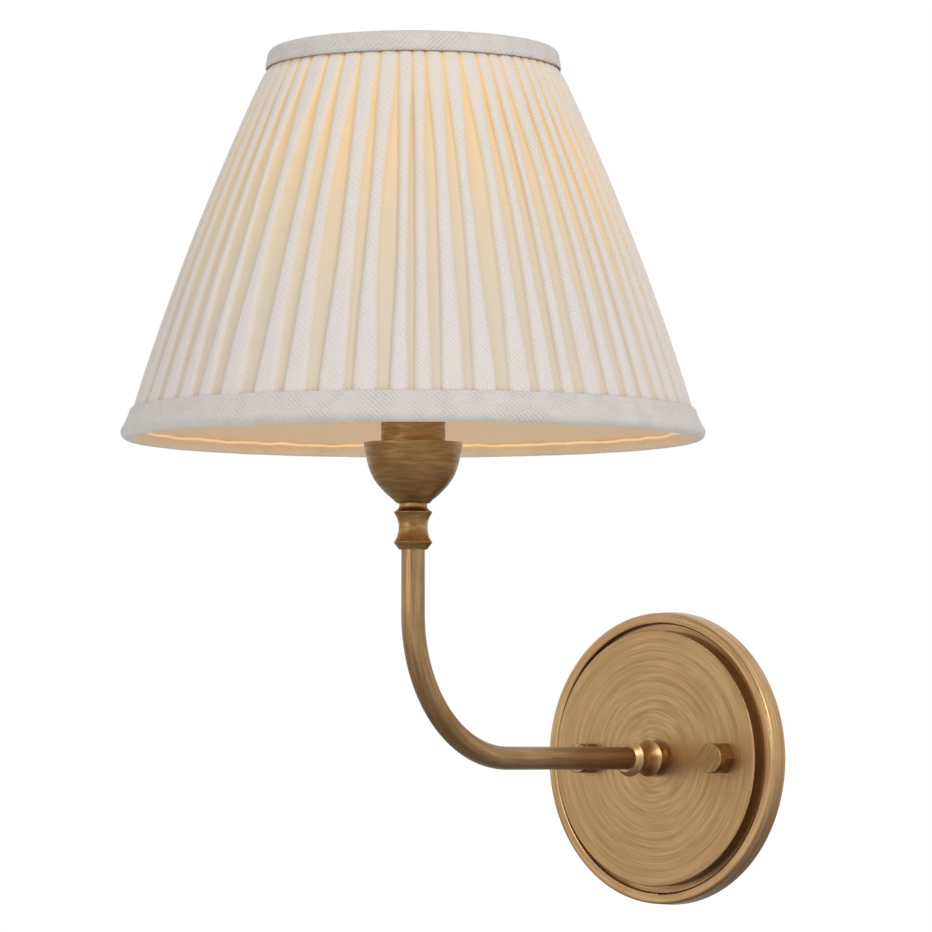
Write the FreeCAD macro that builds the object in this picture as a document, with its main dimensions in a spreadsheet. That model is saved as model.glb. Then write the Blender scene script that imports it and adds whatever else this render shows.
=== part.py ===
"""Fabric shade wall light: a turned arm on a round backplate carries a cup,
a lampholder and a pleated shade.

World frame in millimetres: the wall is the plane y = 0, the light stands out
towards -Y, Z is up, and the arm leaves the backplate along -Y at z = 0.  The
shade, the cup and the lampholder share one upright axis at y = -reach.

Wall parts are drawn with their axis on local Z (distance from the wall) and
are then turned on to the wall.  Upright parts are drawn with local Z up.
"""
import FreeCAD, Part
import math
import os
import Sketcher

Vec = FreeCAD.Vector

SIZES = [
    # arm and overall
    ("reach", 170.0, "wall to shade axis"),
    ("arm_rad", 5.0, "outside radius of the arm tube, M10 x 1 ends"),
    ("arm_bore", 4.0, "inside radius of the arm tube"),
    ("bend_rad", 60.0, "centreline radius of the bend"),
    ("arm_back", 6.6, "wall to the rear end of the tube"),
    ("arm_top", 116.0, "height of the upper end of the tube"),
    ("thread_gap", 0.05, "play between a thread and its nut"),
    # backplate
    ("pan_rad", 64.9, "backplate radius at the wall"),
    ("pan_depth", 8.0, "wall to ring face"),
    ("ring_inner", 59.5, "inner edge of the ring face"),
    ("flange_inner", 50.0, "inner edge of the pan flange"),
    ("sheet_wall", 1.2, "pressed brass sheet"),
    ("disc_rad", 56.6, "front disc radius"),
    ("disc_face", 11.5, "wall to disc face"),
    ("stud_pitch", 76.0, "spacing of the two cap nuts"),
    # bracket
    ("bracket_long", 104.0, "length of the wall bracket"),
    ("bracket_wide", 24.0, "width of the wall bracket"),
    ("bracket_wall", 2.0, "steel thickness of the wall bracket"),
    ("tab_rim", 4.0, "terminal block to the end of the lower tab"),
    ("earth_off", 12.5, "arm axis to the earth screw"),
    ("block_top", 20.0, "arm axis to the top of the terminal block"),
    ("block_long", 18.0, "length of the terminal block"),
    ("block_wide", 14.0, "width of the terminal block"),
    ("block_tall", 7.5, "thickness of the terminal block"),
    ("wire_hole", 1.3, "radius of a wire hole in the block"),
    ("clamp_in", 4.0, "end of the block to the nearest clamp screw"),
    ("clamp_rad", 1.4, "radius of a clamp screw"),
    ("slot_pitch", 52.0, "spacing of the wall screw slots"),
    ("slot_long", 10.0, "overall length of each slot"),
    ("slot_rad", 2.5, "half width of each slot"),
    ("cable_rad", 6.0, "radius of the cable hole"),
    ("stud_rad", 2.0, "M4 stud"),
    ("stud_tip", 17.5, "wall to stud tip"),
    # cap nuts
    ("cap_hex", 7.5, "corner radius of the cap nut hexagon"),
    ("cap_hex_long", 5.0, "length of the hexagon"),
    ("cap_face", 6.55, "radius of the round nut face"),
    ("cap_long", 8.2, "disc face to nut face"),
    ("cap_bore", 2.35, "bore of the cap nut"),
    # spools
    ("spool_long", 19.4, "length of a turned collar"),
    ("spool_neck", 5.95, "neck radius"),
    ("spool_bead", 8.15, "bead radius"),
    ("spool_waist", 6.1, "waist radius"),
    ("spool_foot", 6.35, "foot radius"),
    # cup and lampholder
    ("cup_grip", 9.0, "underside of the cup to the end of the tube inside it"),
    ("cup_tall", 25.4, "height of the cup"),
    ("cup_rim", 20.85, "outside radius of the cup rim"),
    ("cup_wall", 0.8, "wall of the cup"),
    ("holder_rad", 13.5, "radius of the lampholder sleeve"),
    ("holder_seat", 4.9, "underside of the cup to the underside of the lampholder"),
    ("base_tall", 12.1, "height of the lampholder base"),
    ("sleeve_tall", 43.0, "height of the lampholder sleeve"),
    ("collar_tall", 11.0, "shade flange and thread at the top of the sleeve"),
    ("insert_rad", 12.1, "radius of the ceramic insert"),
    ("insert_drop", 3.0, "how far the insert sits down in the base"),
    ("insert_base", 8.0, "thickness of the insert under the socket"),
    ("insert_tall", 29.0, "height of the insert"),
    ("shell_rad", 7.8, "outside radius of the E14 screw shell"),
    ("lead_rad", 0.9, "radius of an insulated lead"),
    ("lead_pitch", 5.0, "spacing of the two leads"),
    ("lead_bend", 3.0, "bend of a lead behind the arm"),
    ("lead_drop", 4.6, "wall to the leads' run down the bracket"),
    # bulb
    ("bulb_seat", 2.6, "floor of the socket to the bulb contact"),
    ("bulb_rad", 17.5, "radius of the candle bulb"),
    ("bulb_long", 104.0, "length of the candle bulb"),
    ("cap_rad", 6.9, "thread radius of the E14 cap"),
    # shade
    ("shade_drop", 24.7, "top of the shade flange to the bottom of the shade"),
    ("shade_tall", 165.7, "height of the shade"),
    ("rim_rad", 123.0, "largest radius of the shade"),
    ("neck_rad", 62.6, "radius of the top trim at its lower edge"),
    ("wire_rad", 1.5, "radius of the frame wire"),
    ("pleat_deep", 2.0, "thickness of the folded cloth"),
    ("lining_wall", 0.5, "thickness of the lining"),
    ("trim_wall", 0.8, "thickness of a rolled trim"),
    ("strut_rad", 1.0, "radius of a carrier strut"),
    ("washer_rad", 22.5, "outside radius of the shade washer"),
    ("washer_bore", 14.4, "hole of the shade washer for an E14 holder"),
    ("washer_wall", 1.2, "thickness of the shade washer"),
    ("ring_rad", 18.5, "outside radius of the shade ring"),
    ("ring_bore", 13.95, "bore of the shade ring"),
]

doc = FreeCAD.newDocument("shade_wall_light")
sheet = doc.addObject("Spreadsheet::Sheet", "sizes")
for row, (name, value, note) in enumerate(SIZES, 1):
    sheet.set("A%d" % row, name)
    sheet.set("B%d" % row, str(value))
    sheet.set("C%d" % row, note)
    sheet.setAlias("B%d" % row, name)
doc.recompute()


class Size:
    """A number together with the sheet expression that it comes from."""

    def __init__(self, value, text=None):
        self.value = float(value)
        self.text = text

    def joined(self, sign, other, value, turned=False):
        other = as_size(other)
        first, second = (other, self) if turned else (self, other)
        if self.text is None and other.text is None:
            return Size(value)
        parts = [s.text if s.text is not None else repr(s.value) for s in (first, second)]
        return Size(value, "(%s %s %s)" % (parts[0], sign, parts[1]))

    def __add__(self, other):
        return self.joined("+", other, self.value + as_size(other).value)

    __radd__ = __add__

    def __sub__(self, other):
        return self.joined("-", other, self.value - as_size(other).value)

    def __rsub__(self, other):
        return self.joined("-", other, as_size(other).value - self.value, True)

    def __mul__(self, other):
        return self.joined("*", other, self.value * as_size(other).value)

    __rmul__ = __mul__

    def __truediv__(self, other):
        return self.joined("/", other, self.value / as_size(other).value)

    def __neg__(self):
        return self * -1.0


def as_size(number):
    return number if isinstance(number, Size) else Size(number)


class Names:
    """Sizes of the sheet by name: S.reach is the cell called reach."""


S = Names()
for name, value, note in SIZES:
    setattr(S, name, Size(value, "sizes." + name))

# heights on the shade axis, each from the one below it
S.cup_base = S.arm_top - S.cup_grip
S.holder_low = S.cup_base + S.holder_seat
S.holder_split = S.holder_low + S.base_tall
S.holder_top = S.holder_split + S.sleeve_tall
S.flange_high = S.holder_top - S.collar_tall
S.thread_low = S.flange_high + 2.0
S.insert_low = S.holder_split - S.insert_drop
S.insert_floor = S.insert_low + S.insert_base
S.insert_top = S.insert_low + S.insert_tall
S.bulb_low = S.insert_floor + S.bulb_seat
S.shade_low = S.thread_low - S.shade_drop
S.shade_high = S.shade_low + S.shade_tall

nodes = []


def new_body(label, axis="free"):
    """A body on the wall axis, on the shade axis or in the world frame."""
    body = doc.addObject("PartDesign::Body", label)
    body.Label = label
    body.AllowCompound = True
    if axis == "wall":
        body.Placement = FreeCAD.Placement(Vec(), FreeCAD.Rotation(Vec(1, 0, 0), 90))
    elif axis == "shade":
        body.Placement = FreeCAD.Placement(Vec(0, -S.reach.value, 0), FreeCAD.Rotation())
        body.setExpression("Placement.Base.y", "-sizes.reach")
    nodes.append(body)
    return body


def new_sketch(body, plane, lift=0.0):
    """A sketch on one of the body's origin planes, raised by lift."""
    role = [f for f in body.Origin.OriginFeatures if f.Role == plane][0]
    sketch = body.newObject("Sketcher::SketchObject", body.Label + "_sketch")
    sketch.AttachmentSupport = [(role, "")]
    sketch.MapMode = "FlatFace"
    lift = as_size(lift)
    if lift.value or lift.text:
        sketch.AttachmentOffset = FreeCAD.Placement(Vec(0, 0, lift.value), FreeCAD.Rotation())
        if lift.text:
            sketch.setExpression("AttachmentOffset.Base.z", lift.text)
    return sketch


def bind(sketch, kind, ends, amount):
    """One dimension, tied to the sheet when it comes from there."""
    amount = as_size(amount)
    index = sketch.addConstraint(Sketcher.Constraint(kind, *ends, amount.value))
    if amount.text:
        sketch.setExpression("Constraints[%d]" % index, amount.text)


def pin(sketch, geo, pos, x, y):
    """Hold a point at x, y measured from the sketch origin."""
    for kind, axis, amount in (("DistanceX", -2, as_size(x)), ("DistanceY", -1, as_size(y))):
        if abs(amount.value) < 1e-9:
            sketch.addConstraint(Sketcher.Constraint("PointOnObject", geo, pos, axis))
        elif amount.value > 0:
            bind(sketch, kind, (-1, 1, geo, pos), amount)
        else:
            bind(sketch, kind, (geo, pos, -1, 1), -amount)


def flat(x, y):
    return Vec(as_size(x).value, as_size(y).value, 0)


def arc_between(start, end, radius):
    """Minor arc; a positive radius turns left on the way, a negative one right."""
    chord = end.sub(start)
    left = Vec(-chord.y, chord.x, 0).normalize()
    away = math.sqrt(max(radius * radius - chord.Length ** 2 / 4.0, 0.0))
    centre = (start + end) * 0.5 + left * math.copysign(away, radius)
    first, last = (start, end) if radius > 0 else (end, start)
    angles = [math.atan2(p.y - centre.y, p.x - centre.x) for p in (first, last)]
    circle = Part.Circle(centre, Vec(0, 0, 1), abs(radius))
    return Part.ArcOfCircle(circle, angles[0], angles[1])


def outline(sketch, corners, closed=True):
    """Corners are (x, y) or (x, y, radius); a radius bends the way to the next one."""
    spots = [flat(c[0], c[1]) for c in corners]
    count = len(corners) if closed else len(corners) - 1
    ends = []
    for i in range(count):
        here, there = spots[i], spots[(i + 1) % len(corners)]
        if len(corners[i]) == 3:
            bend = as_size(corners[i][2])
            geo = sketch.addGeometry(arc_between(here, there, bend.value), False)
            bind(sketch, "Radius", (geo,), bend if bend.value > 0 else -bend)
            ends.append((geo, 1, 2) if bend.value > 0 else (geo, 2, 1))
        else:
            geo = sketch.addGeometry(Part.LineSegment(here, there), False)
            ends.append((geo, 1, 2))
        pin(sketch, ends[i][0], ends[i][1], corners[i][0], corners[i][1])
    for i in range(count if closed else count - 1):
        here, there = ends[i], ends[(i + 1) % count]
        sketch.addConstraint(Sketcher.Constraint("Coincident", here[0], here[2], there[0], there[1]))
    if not closed:
        pin(sketch, ends[-1][0], ends[-1][2], corners[-1][0], corners[-1][1])


def ring_of(sketch, x, y, *radii):
    """Circles round one centre."""
    for radius in radii:
        radius = as_size(radius)
        geo = sketch.addGeometry(Part.Circle(flat(x, y), Vec(0, 0, 1), radius.value), False)
        pin(sketch, geo, 3, x, y)
        bind(sketch, "Radius", (geo,), radius)


def hexagon(sketch, x, y, radius):
    """A regular hexagon with a corner on each side along x."""
    radius = as_size(radius)
    centre = flat(x, y)
    round_geo = sketch.addGeometry(Part.Circle(centre, Vec(0, 0, 1), radius.value), True)
    pin(sketch, round_geo, 3, x, y)
    bind(sketch, "Radius", (round_geo,), radius)
    turn = [math.radians(60 * i) for i in range(6)]
    tips = [centre + Vec(math.cos(t), math.sin(t), 0) * radius.value for t in turn]
    sides = [sketch.addGeometry(Part.LineSegment(tips[i], tips[(i + 1) % 6]), False) for i in range(6)]
    for i, side in enumerate(sides):
        after = sides[(i + 1) % 6]
        sketch.addConstraint(Sketcher.Constraint("Coincident", side, 2, after, 1))
        sketch.addConstraint(Sketcher.Constraint("PointOnObject", side, 1, round_geo))
    for side in sides[1:]:
        sketch.addConstraint(Sketcher.Constraint("Equal", sides[0], side))
    sketch.addConstraint(Sketcher.Constraint("Horizontal", sides[1]))


def slot_shape(sketch, x, y, half, radius):
    """A round-ended slot along x; half is half the distance between its centres."""
    reach, high = as_size(half).value, as_size(radius).value
    arcs = []
    for way, first in ((1, -90), (-1, 90)):
        centre = flat(x + half * way, y)
        circle = Part.Circle(centre, Vec(0, 0, 1), high)
        arc = Part.ArcOfCircle(circle, math.radians(first), math.radians(first + 180))
        geo = sketch.addGeometry(arc, False)
        pin(sketch, geo, 3, x + half * way, y)
        arcs.append(geo)
    bind(sketch, "Radius", (arcs[0],), radius)
    middle = flat(x, y)
    for first, last, level in ((0, 1, high), (1, 0, -high)):
        side = Vec(reach if first == 0 else -reach, level, 0)
        across = Vec(-side.x, level, 0)
        line = sketch.addGeometry(Part.LineSegment(middle + side, middle + across), False)
        sketch.addConstraint(Sketcher.Constraint("Tangent", arcs[first], 2, line, 1))
        sketch.addConstraint(Sketcher.Constraint("Tangent", line, 2, arcs[last], 1))
    sketch.addConstraint(Sketcher.Constraint("Equal", arcs[0], arcs[1]))


def spin(body, corners, cut=False):
    """Revolve a section given as (radius, height) corners about local Z."""
    sketch = new_sketch(body, "XZ_Plane")
    outline(sketch, corners)
    turned = body.newObject("PartDesign::Groove" if cut else "PartDesign::Revolution",
                            body.Label + ("_groove" if cut else "_turned"))
    turned.Profile = sketch
    turned.ReferenceAxis = (sketch, ["V_Axis"])
    turned.Angle = 360.0
    body.Tip = turned
    doc.recompute()
    return turned


def extrude(body, sketch, length, cut=False, both_ways=False):
    """Pad up from a sketch, or pocket down from it."""
    length = as_size(length)
    made = body.newObject("PartDesign::Pocket" if cut else "PartDesign::Pad",
                          body.Label + ("_pocket" if cut else "_pad"))
    made.Profile = sketch
    made.Length = length.value
    if length.text:
        made.setExpression("Length", length.text)
    if both_ways:
        made.Midplane = True
    body.Tip = made
    doc.recompute()
    return made


def sweep(body, corners, plane, lift, *radii):
    """Pipe along an open outline drawn in the YZ plane, from its first corner."""
    spine = new_sketch(body, "YZ_Plane")
    outline(spine, corners, closed=False)
    section = new_sketch(body, plane, lift)
    across = corners[0][0] if plane == "XY_Plane" else corners[0][1]
    where = (0, across)
    ring_of(section, where[0], where[1], *radii)
    doc.recompute()
    pipe = body.newObject("PartDesign::AdditivePipe", body.Label + "_pipe")
    pipe.Profile = section
    edge_total = len(corners) - 1
    pipe.Spine = (spine, ["Edge%d" % (i + 1) for i in range(edge_total)])
    body.Tip = pipe
    doc.recompute()
    return pipe


def around(body, feature, count):
    """Repeat a feature evenly about local Z."""
    pattern = body.newObject("PartDesign::PolarPattern", body.Label + "_pattern")
    pattern.Originals = [feature]
    pattern.Axis = ([f for f in body.Origin.OriginFeatures if f.Role == "Z_Axis"][0], [""])
    pattern.Angle = 360.0
    pattern.Occurrences = count
    body.Tip = pattern
    doc.recompute()
    return pattern


def edges_along(shape, direction, length=None):
    """Names of the straight edges that run along a direction."""
    found = []
    for i, edge in enumerate(shape.Edges, 1):
        if isinstance(edge.Curve, Part.Line) and abs(edge.Curve.Direction.dot(direction)) > 0.999:
            if length is None or abs(edge.Length - length) < 0.01:
                found.append("Edge%d" % i)
    return found


def soften(body, names, radius):
    """Fillet the named edges of the body's tip."""
    before = body.Tip
    rounded = body.newObject("PartDesign::Fillet", body.Label + "_fillet")
    rounded.Base = (before, names)
    rounded.Radius = radius
    body.Tip = rounded
    doc.recompute()


def tube_section(inner, outer, low, high):
    return [(inner, low), (outer, low), (outer, high), (inner, high)]


half_pitch = S.stud_pitch / 2.0
bracket_face = S.bracket_wall
thread_bore = S.arm_rad + S.thread_gap

# ---------------------------------------------------------------- wall bracket
bracket = new_body("wall_bracket", "wall")
half_long, half_wide = S.bracket_long / 2.0, S.bracket_wide / 2.0
plan = new_sketch(bracket, "XY_Plane")
block_low = -(S.block_top + S.block_long)
tab_low = block_low - S.tab_rim
outline(plan, [(-half_long, -half_wide), (-half_wide, -half_wide), (-half_wide, tab_low),
               (half_wide, tab_low), (half_wide, -half_wide), (half_long, -half_wide),
               (half_long, half_wide), (-half_long, half_wide)])
extrude(bracket, plan, S.bracket_wall)
soften(bracket, edges_along(bracket.Tip.Shape, Vec(0, 0, 1)), 2.5)
holes = new_sketch(bracket, "XY_Plane", S.bracket_wall)
ring_of(holes, 0, 0, S.cable_rad)
for side in (-1, 1):
    ring_of(holes, half_pitch * side, 0, S.stud_rad + S.thread_gap)
    slot_shape(holes, S.slot_pitch / 2.0 * side, Size(0), S.slot_long / 2.0 - S.slot_rad, S.slot_rad)
earth_x = S.earth_off
ring_of(holes, earth_x, 0, 1.75)
extrude(bracket, holes, S.bracket_wall, cut=True)

studs = new_body("bracket_studs", "wall")
plan = new_sketch(studs, "XY_Plane", 0.2)
for side in (-1, 1):
    ring_of(plan, half_pitch * side, 0, S.stud_rad)
extrude(studs, plan, S.stud_tip - 0.2)

stud_nuts = new_body("stud_locknuts", "wall")
plan = new_sketch(stud_nuts, "XY_Plane", bracket_face + 0.05)
for side in (-1, 1):
    hexagon(plan, half_pitch * side, 0, 4.04)
    ring_of(plan, half_pitch * side, 0, S.stud_rad + S.thread_gap)
extrude(stud_nuts, plan, 1.9)

earth_washer = new_body("earth_washer", "wall")
plan = new_sketch(earth_washer, "XY_Plane", bracket_face + 0.05)
ring_of(plan, earth_x, 0, 3.9, 1.9)
extrude(earth_washer, plan, 0.8)

earth_screw = new_body("earth_screw", "wall")
plan = new_sketch(earth_screw, "XY_Plane", 0.2)
ring_of(plan, earth_x, 0, 1.7)
extrude(earth_screw, plan, bracket_face + 0.7)
plan = new_sketch(earth_screw, "XY_Plane", bracket_face + 0.9)
ring_of(plan, earth_x, 0, 3.3)
extrude(earth_screw, plan, 2.2)
plan = new_sketch(earth_screw, "XY_Plane", bracket_face + 3.1)
outline(plan, [(earth_x - 2.6, -0.4), (earth_x + 2.6, -0.4), (earth_x + 2.6, 0.4), (earth_x - 2.6, 0.4)])
extrude(earth_screw, plan, 1.0, cut=True)

# -------------------------------------------------------------- terminal block
block_high = -S.block_top
block_half = S.block_wide / 2.0
block_face = bracket_face + 0.05 + S.block_tall
lead_side = S.lead_pitch / 2.0
block = new_body("terminal_block", "wall")
plan = new_sketch(block, "XY_Plane", bracket_face + 0.05)
outline(plan, [(-block_half, block_low), (block_half, block_low),
               (block_half, block_high), (-block_half, block_high)])
extrude(block, plan, S.block_tall)
soften(block, edges_along(block.Tip.Shape, Vec(0, 0, 1)), 1.0)
wire_deep = S.block_long / 2.0 - 0.5
for end in (S.block_top, S.block_top + S.block_long):
    plan = new_sketch(block, "XZ_Plane", end)
    for side in (-1, 1):
        ring_of(plan, lead_side * side, S.lead_drop, S.wire_hole)
    extrude(block, plan, wire_deep * 2.0, cut=True, both_ways=True)
clamp_rows = (block_high - S.clamp_in, block_low + S.clamp_in)
plan = new_sketch(block, "XY_Plane", block_face)
for side in (-1, 1):
    for row in clamp_rows:
        ring_of(plan, lead_side * side, row, S.clamp_rad + 0.1)
extrude(block, plan, block_face - S.lead_drop, cut=True)

clamps = new_body("terminal_screws", "wall")
# the upper pair grips the leads, the lower pair stands open for the supply
clamp_tips = (S.lead_drop + S.lead_rad + 0.05, S.lead_drop + S.wire_hole + 0.1)
for row, tip in zip(clamp_rows, clamp_tips):
    plan = new_sketch(clamps, "XY_Plane", tip)
    for side in (-1, 1):
        ring_of(plan, lead_side * side, row, S.clamp_rad)
    extrude(clamps, plan, 3.4)
for row, tip in zip(clamp_rows, clamp_tips):
    plan = new_sketch(clamps, "XY_Plane", tip + 3.4)
    for side in (-1, 1):
        x = lead_side * side
        outline(plan, [(x - 1.2, row - 0.25), (x + 1.2, row - 0.25), (x + 1.2, row + 0.25), (x - 1.2, row + 0.25)])
    extrude(clamps, plan, 0.7, cut=True)

# ------------------------------------------------------------------- backplate
pan = new_body("backplate_pan", "wall")
ring_outer = S.pan_rad - 0.4
floor_face = S.pan_depth - 2.8
spin(pan, [(S.pan_rad - S.sheet_wall, 0), (S.pan_rad, 0), (ring_outer, S.pan_depth - 1.3, 1.3),
           (ring_outer - 1.3, S.pan_depth), (S.ring_inner + 0.9, S.pan_depth, 0.9),
           (S.ring_inner, S.pan_depth - 0.9), (S.ring_inner, floor_face), (S.flange_inner, floor_face),
           (S.flange_inner, floor_face - S.sheet_wall),
           (S.ring_inner + S.sheet_wall, floor_face - S.sheet_wall),
           (S.ring_inner + S.sheet_wall, S.pan_depth - S.sheet_wall),
           (ring_outer - S.sheet_wall, S.pan_depth - S.sheet_wall)])

disc = new_body("backplate_disc", "wall")
disc_back = S.disc_face - S.sheet_wall
spin(disc, [(thread_bore + 0.1, disc_back), (S.disc_rad - S.sheet_wall, disc_back),
            (S.disc_rad - S.sheet_wall, floor_face + 0.05), (S.disc_rad, floor_face + 0.05),
            (S.disc_rad, S.disc_face - 0.6, 0.6), (S.disc_rad - 0.6, S.disc_face),
            (thread_bore + 0.1, S.disc_face)])
plan = new_sketch(disc, "XY_Plane", S.disc_face)
for side in (-1, 1):
    ring_of(plan, half_pitch * side, 0, S.stud_rad + 0.35)
extrude(disc, plan, S.sheet_wall, cut=True)

cap_seat = S.disc_face + 0.1
for label, side in (("cap_nut_left", -1), ("cap_nut_right", 1)):
    nut = new_body(label, "wall")
    x = half_pitch * side
    plan = new_sketch(nut, "XY_Plane", cap_seat)
    hexagon(plan, x, 0, S.cap_hex)
    extrude(nut, plan, S.cap_hex_long)
    plan = new_sketch(nut, "XY_Plane", cap_seat + S.cap_hex_long)
    ring_of(plan, x, 0, S.cap_face)
    extrude(nut, plan, S.cap_long - S.cap_hex_long - 0.1)
    rims = ["Edge%d" % (i + 1) for i, e in enumerate(nut.Tip.Shape.Edges)
            if isinstance(e.Curve, Part.Circle) and abs(e.Curve.Center.z - S.disc_face.value - S.cap_long.value) < 0.01]
    soften(nut, rims, 0.4)
    plan = new_sketch(nut, "XY_Plane", cap_seat)
    ring_of(plan, x, 0, S.cap_bore)
    bore = extrude(nut, plan, S.stud_tip - cap_seat + 0.7, cut=True)
    bore.Reversed = True
    doc.recompute()

arm_washer = new_body("arm_washer", "wall")
plan = new_sketch(arm_washer, "XY_Plane", disc_back - 0.95)
ring_of(plan, 0, 0, 9.5, thread_bore)
extrude(arm_washer, plan, 0.9)
plan = new_sketch(arm_washer, "XY_Plane", disc_back - 0.05)
outline(plan, [(8.6, -0.45), (10.0, -0.45), (10.0, 0.45), (8.6, 0.45)])
notch = extrude(arm_washer, plan, 0.9, cut=True)
around(arm_washer, notch, 12)

arm_nut = new_body("arm_locknut", "wall")
plan = new_sketch(arm_nut, "XY_Plane", S.arm_back + 0.4)
hexagon(plan, 0, 0, 8.08)
ring_of(plan, 0, 0, thread_bore)
extrude(arm_nut, plan, disc_back - 1.0 - S.arm_back - 0.4)


# ------------------------------------------------------- turned collars and arm
def spool_section(base):
    """Neck, bead, waist, bead and foot of a collar, from its neck end at base."""
    direction = 1.0 if base is wall_seat else -1.0

    def at(distance):
        return base + direction * distance

    bead_foot = S.spool_bead - 0.2
    bead, hollow = 0.45 * direction, -10.4 * direction
    waist = S.spool_long / 2.0 + 0.4
    return [(thread_bore, at(0)), (S.spool_neck, at(0)), (S.spool_neck, at(1.4), -2.9 * direction),
            (bead_foot, at(3.4), bead), (bead_foot, at(4.1), hollow), (S.spool_waist, at(waist), hollow),
            (bead_foot, at(S.spool_long - 3.3), bead), (bead_foot, at(S.spool_long - 2.6)),
            (S.spool_foot, at(S.spool_long - 0.5)), (S.spool_foot - 0.3, at(S.spool_long)),
            (thread_bore, at(S.spool_long))]


wall_seat = S.disc_face + 0.05
cup_seat = S.cup_base - 0.05
for label, axis, seat in (("wall_spool", "wall", wall_seat), ("upper_spool", "shade", cup_seat)):
    collar = new_body(label, axis)
    spin(collar, spool_section(seat))

arm = new_body("arm_tube", "free")
sweep(arm, [(-S.arm_back, 0), (S.bend_rad - S.reach, 0, -S.bend_rad),
            (-S.reach, S.bend_rad), (-S.reach, S.arm_top)],
      "XZ_Plane", S.arm_back, S.arm_rad, S.arm_bore)

# ------------------------------------------------------------------- cup
cup_floor = S.cup_base + 2.2
cup = new_body("cup", "shade")
rim_high = S.cup_base + S.cup_tall
spin(cup, [(thread_bore + 0.05, S.cup_base), (S.cup_rim - 13.9, S.cup_base),
           (S.cup_rim - 12.3, S.cup_base + 1.6, 40.0), (S.cup_rim - 5.9, S.cup_base + 7.9, 21.1),
           (S.cup_rim - 1.9, S.cup_base + 15.8, 78.0),
           (S.cup_rim, rim_high), (S.cup_rim - S.cup_wall, rim_high),
           (S.cup_rim - 1.9 - S.cup_wall, S.cup_base + 15.9, -20.3),
           (S.cup_rim - 6.6, S.cup_base + 8.5, -40.0), (S.cup_rim - 12.2, cup_floor),
           (thread_bore + 0.05, cup_floor)])

cup_nut = new_body("cup_locknut", "shade")
plan = new_sketch(cup_nut, "XY_Plane", cup_floor + 0.05)
hexagon(plan, 0, 0, 8.08)
ring_of(plan, 0, 0, thread_bore)
extrude(cup_nut, plan, 2.3)

# -------------------------------------------------------------- lampholder
base = new_body("holder_base", "shade")
shoulder = S.holder_low + 5.6
spin(base, [(thread_bore, S.holder_low), (7.5, S.holder_low), (7.5, shoulder, -1.5), (9.0, shoulder + 1.5),
            (S.holder_rad - 1.0, shoulder + 1.5, 1.0), (S.holder_rad, shoulder + 2.5),
            (S.holder_rad, S.holder_split - 0.05), (S.insert_rad + 0.15, S.holder_split - 0.05),
            (S.insert_rad + 0.15, shoulder + 3.0), (thread_bore, shoulder + 3.0)])

crest, root = S.holder_rad + 0.1, S.holder_rad - 0.35
sleeve_inner = S.insert_rad + 0.15
section = [(sleeve_inner, S.holder_split), (S.holder_rad, S.holder_split), (S.holder_rad, S.flange_high),
           (S.holder_rad + 3.5, S.flange_high), (S.holder_rad + 3.5, S.thread_low), (root, S.thread_low)]
for turn in range(4):
    start = S.thread_low + 0.6 + 2.0 * turn
    section += [(root, start), (crest, start + 0.5), (crest, start + 0.9), (root, start + 1.4)]
section += [(root, S.holder_top), (sleeve_inner, S.holder_top)]
sleeve = new_body("holder_sleeve", "shade")
spin(sleeve, section)

insert = new_body("holder_insert", "shade")
spin(insert, [(0, S.insert_low), (S.insert_rad, S.insert_low), (S.insert_rad, S.insert_top - 1.0, 1.0),
              (S.insert_rad - 1.0, S.insert_top), (S.shell_rad + 0.3, S.insert_top),
              (S.shell_rad + 0.3, S.insert_floor), (0, S.insert_floor)])
plan = new_sketch(insert, "XY_Plane", S.insert_floor)
for side in (-1, 1):
    ring_of(plan, lead_side * side, 0, 1.3)
extrude(insert, plan, S.insert_floor - S.insert_low, cut=True)
clamp_high = S.insert_low + 3.0
plan = new_sketch(insert, "XZ_Plane")
for side in (-1, 1):
    ring_of(plan, lead_side * side, clamp_high, 1.4)
drill = extrude(insert, plan, S.insert_rad + 1.0, cut=True)
drill.Reversed = True
doc.recompute()

shell = new_body("screw_shell", "shade")
shell_low = S.insert_floor + 0.1
section = [(4.2, shell_low), (S.shell_rad, shell_low)]
for turn in range(5):
    start = shell_low + 3.0 + 2.8 * turn
    section += [(S.shell_rad, start), (S.shell_rad + 0.25, start + 0.7), (S.shell_rad, start + 1.4)]
section += [(S.shell_rad, S.insert_top - 0.5), (S.shell_rad - 0.5, S.insert_top - 0.5),
            (S.shell_rad - 0.5, shell_low + 0.5), (4.2, shell_low + 0.5)]
spin(shell, section)

contact = new_body("centre_contact", "shade")
spin(contact, [(0, shell_low), (3.4, shell_low), (3.4, shell_low + 0.4), (2.2, shell_low + 0.4),
               (2.2, shell_low + 1.0, 2.6), (0.4, shell_low + 2.2), (0, shell_low + 2.2)])

holder_clamps = new_body("holder_screws", "shade")
plan = new_sketch(holder_clamps, "XZ_Plane", S.lead_rad + 0.1)
for side in (-1, 1):
    ring_of(plan, lead_side * side, clamp_high, 1.3)
extrude(holder_clamps, plan, S.insert_rad - S.lead_rad - 2.1)

# ------------------------------------------------------------------- leads
for label, side in (("live_lead", 1), ("neutral_lead", -1)):
    lead = new_body(label, "free")
    lead.Placement = FreeCAD.Placement(Vec(side * S.lead_pitch.value / 2.0, 0, 0), FreeCAD.Rotation())
    lead.setExpression("Placement.Base.x", "%d * sizes.lead_pitch / 2" % side)
    run_back = S.lead_drop + S.lead_bend
    lead_end = -(S.block_top + wire_deep - 0.5)
    sweep(lead, [(-S.lead_drop, lead_end), (-S.lead_drop, -S.lead_bend, S.lead_bend), (-run_back, 0),
                 (S.bend_rad - S.reach, 0, -S.bend_rad), (-S.reach, S.bend_rad),
                 (-S.reach, S.insert_floor - 3.0)],
          "XY_Plane", lead_end, S.lead_rad)

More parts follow.
